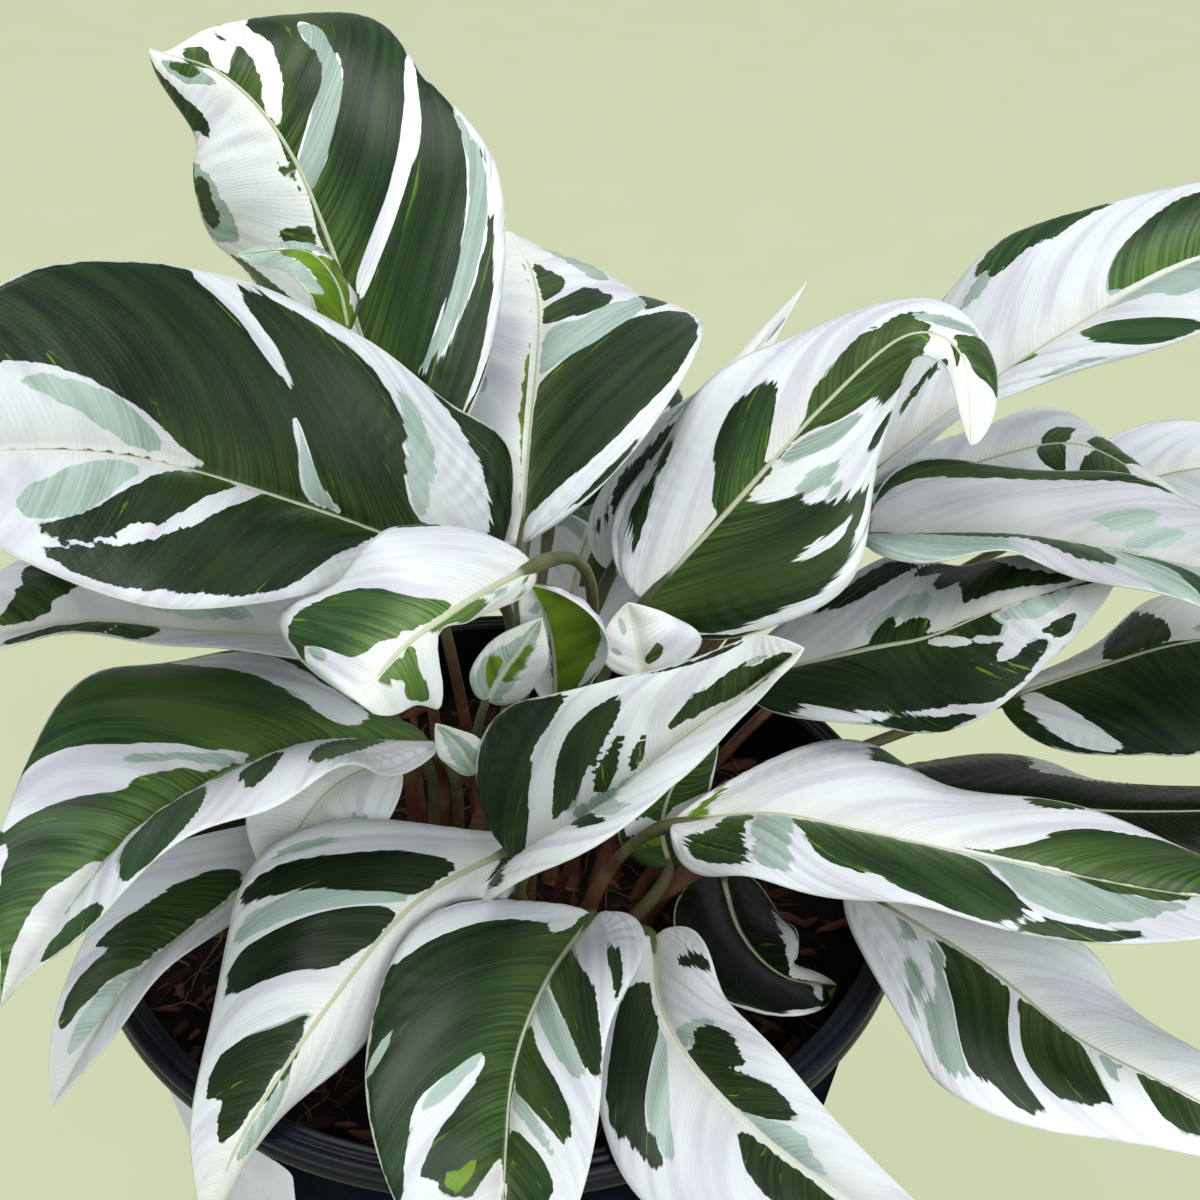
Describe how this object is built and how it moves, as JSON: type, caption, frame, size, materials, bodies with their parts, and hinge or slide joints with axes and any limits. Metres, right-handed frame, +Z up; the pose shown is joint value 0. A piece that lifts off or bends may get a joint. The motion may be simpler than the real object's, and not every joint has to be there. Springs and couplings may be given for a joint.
{
  "type": "potted prayer plant",
  "caption": "White Fusion calathea: arched leaves splashed white, grey and green on thin stalks, in potting mix in a black plastic nursery pot.",
  "frame": {"origin": "centre of the pot's underside", "axes": "+Z up, +X to the right and +Y to the back as the plant is seen from its front"},
  "size_m": [0.2794, 0.2282, 0.2872],
  "materials": {
    "leaf": "satin",
    "young_leaf": "satin",
    "soil": "matte",
    "pot": "satin",
    "label": "matte"
  },
  "bodies": {
    "root": {"pot": "pot", "soil": "soil", "label": "label", "leaf_tall_left": "leaf", "leaf_big_left": "leaf", "leaf_curled_front": "leaf", "leaf_upper_middle": "leaf", "leaf_centre_right": "leaf", "leaf_right_top": "leaf", "leaf_right_upper": "leaf", "leaf_right_middle": "leaf", "leaf_right_back": "leaf", "leaf_right_shadow": "leaf", "leaf_right_long": "leaf", "leaf_right_low": "leaf", "leaf_front_right": "leaf", "leaf_front_middle": "leaf", "leaf_front_left": "leaf", "leaf_left_middle": "leaf", "leaf_left_low": "leaf", "leaf_left_under": "leaf", "leaf_pale_behind": "leaf", "leaf_right_wavy": "leaf", "leaf_right_far": "leaf", "leaf_front_dark": "leaf", "leaf_centre_front": "leaf", "leaf_crown_dark": "leaf", "leaf_left_pale": "leaf", "leaf_new_roll": "young_leaf", "leaf_new_white": "young_leaf", "leaf_new_point": "young_leaf", "leaf_new_lime": "young_leaf", "leaf_new_pale": "young_leaf", "leaf_back_left": "leaf", "leaf_back_low_left": "leaf", "leaf_back_far": "leaf", "leaf_back_mid": "leaf", "leaf_back_right": "leaf"}
  },
  "joints": []
}
